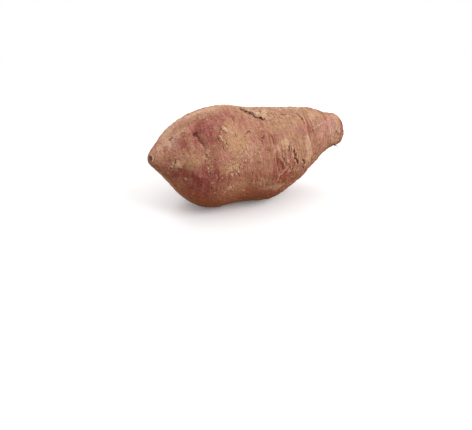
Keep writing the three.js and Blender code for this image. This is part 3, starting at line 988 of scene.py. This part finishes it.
def fibre_group():
    """Dried fibre: a dark middle, a paler rim, and a fine broken grain between two colours."""
    group = bpy.data.node_groups.new("dried_fibre", "ShaderNodeTree")
    for name, kind in [
        ("Place", "Vector"), ("Outward", "Float"), ("Rays", "Float"),
        ("Middle", "Color"), ("Body", "Color"), ("Rim", "Color"),
    ]:
        group.interface.new_socket(name, in_out="INPUT", socket_type="NodeSocket" + kind)
    for name, kind in [("Color", "Color"), ("Height", "Float")]:
        group.interface.new_socket(name, in_out="OUTPUT", socket_type="NodeSocket" + kind)
    given = group.nodes.new("NodeGroupInput").outputs
    grain = noise(group, given["Place"], 1.4, detail=4, rough=0.7)
    spread = weighed(group, given["Outward"], (grain, 0.5), (1.0, -0.25))
    colour = blend(group, ramp(group, spread, 0.1, 0.45), given["Middle"], given["Body"])
    colour = blend(group, ramp(group, spread, 0.68, 0.9), colour, given["Rim"])
    colour = blend(group, ramp(group, grain, 0.55, 0.4, 0.0, 0.45), colour, given["Middle"])
    colour = blend(group, ramp(group, given["Rays"], 0.0, -0.6, 0.0, 0.7), colour, given["Middle"])
    fill(group, group.nodes.new("NodeGroupOutput"), {"Color": colour, "Height": grain})
    return group


dried_fibre = fibre_group()


def fibre_material(name, middle, body, rim, roughness):
    """A matt woody material with its own three colours."""
    material, tree, where = new_material(name)
    fibre = tree.nodes.new("ShaderNodeGroup")
    fibre.node_tree = dried_fibre
    given = {"Place": where, "Middle": middle, "Body": body, "Rim": rim}
    given |= {label: painted(tree, label.lower()) for label in ("Outward", "Rays")}
    fill(tree, fibre, given)
    finish_matt(tree, fibre.outputs["Color"], fibre.outputs["Height"], 0.5, roughness, 0.2)
    return material


# Each profile goes from the middle to the rim: a share of the radius, and a height in millimetres.
STEM_PROFILE = [(0, -0.9), (0.2, -0.8), (0.42, -0.45), (0.6, -0.05), (0.78, 0.1), (0.93, -0.25), (1.0, -0.8)]
stem_grid, stem_masks = scar(0, STEM_SCAR, STEM_PROFILE, 71, 0.22)
stem_scar = grid_mesh(
    "stem_scar",
    np.clip(stem_grid, low, high),
    stem_masks,
    fibre_material("stem_fibre", seen(98, 66, 42), seen(160, 118, 86), seen(208, 166, 148), 0.85),
)
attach(stem_scar, "root")

TAIL_PROFILE = [
    (0, -1.3), (0.08, -1.1), (0.16, -0.4), (0.34, -0.45), (0.52, -0.8), (0.70, -0.65), (0.82, -0.95),
    (0.92, -1.35), (1.0, -2.0),
]
tail_grid, tail_masks = scar(-1, TAIL_SCAR, TAIL_PROFILE, 75, 0.3, rings=40, columns=140)
tail_scar = grid_mesh(
    "tail_scar",
    np.clip(tail_grid, low, high),
    tail_masks,
    fibre_material("tail_fibre", seen(70, 44, 38), seen(142, 104, 88), seen(108, 72, 70), 0.85),
)
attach(tail_scar, "root")


# ---------------------------------------------------------------- the rootlets
# Stubs of the fine feeding roots, broken off short and dried to stiff dark threads. Each is fixed where it
# grew, out of the skin.
def rootlet(along, around, length, thick, tilt, bend, seed, rows=16, columns=8):
    """A tapering bent thread: it leaves the skin along the outward direction, tilted ahead and round by the
    two tilts and bent by the square of the share of its length, with a waver from the cloud."""
    foot, normal = on_skin(np.array([along]), np.array([around]), skin)
    foot, normal = foot[0], normal[0]
    round_it = np.cross(normal, [1.0, 0.0, 0.0])
    round_it /= np.linalg.norm(round_it)
    ahead = np.cross(round_it, normal)
    t = np.linspace(-0.15, 1, rows)[:, None]
    heading = normal + tilt[0] * ahead + tilt[1] * round_it
    heading /= np.linalg.norm(heading)
    spine = foot + (heading * t + (bend[0] * ahead + bend[1] * round_it) * t**2) * length * mm
    spine = drift(spine, 1.5, seed, 0.12)
    turn = np.arange(columns) * 2 * math.pi / columns
    a = np.cross(heading, [0.3, 0.5, 0.8])
    a /= np.linalg.norm(a)
    b = np.cross(heading, a)
    width = thick / 2 * mm * (1 - 0.75 * np.clip(t, 0, 1) ** 1.5)
    ring = np.cos(turn)[:, None] * a + np.sin(turn)[:, None] * b
    grid = spine[:, None] + width[..., None] * ring
    grid[0], grid[-1] = spine[0], spine[-1]
    return grid


# Each has its share and degrees, length and thickness in millimetres, and its two tilts and two bends.
ROOTLETS = [
    (0.93, 214, 4.4, 1.0, (0.9, -0.5), (0.2, -0.1)),
    (0.936, 218, 2.4, 0.7, (0.1, -0.7), (-0.3, 0.0)),
    (0.80, 250, 3.2, 0.6, (-0.5, 0.3), (0.2, 0.3)),
    (0.46, 18, 2.6, 0.55, (0.6, 0.8), (0.5, 0.2)),
    (0.70, 340, 3.4, 0.6, (0.4, -0.6), (0.6, 0.0)),
    (0.14, 318, 2.4, 0.6, (-0.4, 0.5), (0.0, 0.4)),
]
threads = np.stack([rootlet(*line, seed=80 + 4 * k) for k, line in enumerate(ROOTLETS)])
rootlets = grid_mesh(
    "rootlets",
    np.clip(threads, low, high),
    {"outward": np.full(threads.shape[:3], 0.5)},
    fibre_material("dried_rootlet", seen(58, 36, 34), seen(86, 56, 50), seen(112, 78, 66), 0.7),
)
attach(rootlets, "root")


# ---------------------------------------------------------------- the floor and the light
# A plain white floor, three wide soft lamps and an even white surround. The floor is white to the camera and
# fades to pure white further off, and the light that it throws up under the root is dimmer and warm.
FLOOR_HALF = 3.0
FLOOR_GAP = 0.05 * mm
FLOOR_SHOWN = (0.95, 0.95, 0.95, 1)
FLOOR_GLOW = 0.1
FLOOR_THROWN = (0.34, 0.26, 0.19, 1)
FADE_START, FADE_END = 0.16, 0.42
corners = [(x * FLOOR_HALF, y * FLOOR_HALF, -FLOOR_GAP) for x, y in ((-1, -1), (1, -1), (1, 1), (-1, 1))]
floor_mesh = bpy.data.meshes.new("floor")
floor_mesh.from_pydata(corners, [], [(0, 1, 2, 3)])
floor = bpy.data.objects.new("floor", floor_mesh)
bpy.context.scene.collection.objects.link(floor)

floor_material = bpy.data.materials.new("white_floor")
floor_material.use_nodes = True
tree = floor_material.node_tree
tree.nodes.clear()
where = add(tree, "TexCoord").outputs["Object"]
far_off = add(tree, "VectorMath", {0: where}, operation="LENGTH").outputs["Value"]
shown = add(tree, "BsdfDiffuse", {"Color": FLOOR_SHOWN}).outputs[0]
glow = add(tree, "Emission", {"Strength": FLOOR_GLOW}).outputs[0]
shown = add(tree, "AddShader", {0: shown, 1: glow}).outputs[0]
white = add(tree, "Emission", {"Strength": 1.0}).outputs[0]
shown = add(tree, "MixShader", {0: ramp(tree, far_off, FADE_START, FADE_END), 1: shown, 2: white}).outputs[0]
thrown = add(tree, "BsdfDiffuse", {"Color": FLOOR_THROWN}).outputs[0]
camera_ray = add(tree, "LightPath").outputs["Is Camera Ray"]
surface = add(tree, "MixShader", {0: camera_ray, 1: thrown, 2: shown}).outputs[0]
add(tree, "OutputMaterial", {"Surface": surface})
floor_mesh.materials.append(floor_material)

LAMP_SIZE = 0.6
for label, energy, place in [
    ("soft_lamp", 4.5, (0.44, -0.68, 0.64)),
    ("back_lamp", 2.8, (-0.12, 0.66, 0.74)),
    ("side_lamp", 2.4, (0.93, -0.22, 0.28)),
]:
    lamp_data = bpy.data.lights.new(label, "AREA")
    lamp_data.shape = "DISK"
    lamp_data.size = LAMP_SIZE
    lamp_data.energy = energy
    lamp = bpy.data.objects.new(label, lamp_data)
    lamp.location = place
    lamp.rotation_euler = lamp.location.to_track_quat("Z", "Y").to_euler()
    bpy.context.scene.collection.objects.link(lamp)

# The surround lights the root evenly, and is pure white where the camera, gloss or glass would see it.
SURROUND_STRENGTH = 0.82
WHITE = (1, 1, 1, 1)
world = bpy.data.worlds.new("surround")
world.use_nodes = True
bpy.context.scene.world = world
tree = world.node_tree
tree.nodes.clear()
path = add(tree, "LightPath").outputs
seen_ray = path["Is Camera Ray"]
for kind in ("Is Glossy Ray", "Is Transmission Ray"):
    seen_ray = add(tree, "Math", {0: seen_ray, 1: path[kind]}, operation="MAXIMUM").outputs[0]
even = add(tree, "Background", {"Color": WHITE, "Strength": SURROUND_STRENGTH}).outputs[0]
backdrop = add(tree, "Background", {"Color": WHITE, "Strength": 1.0}).outputs[0]
surround = add(tree, "MixShader", {0: seen_ray, 1: even, 2: backdrop}).outputs[0]
add(tree, "OutputWorld", {"Surface": surround})

bpy.context.scene.view_settings.view_transform = "Standard"
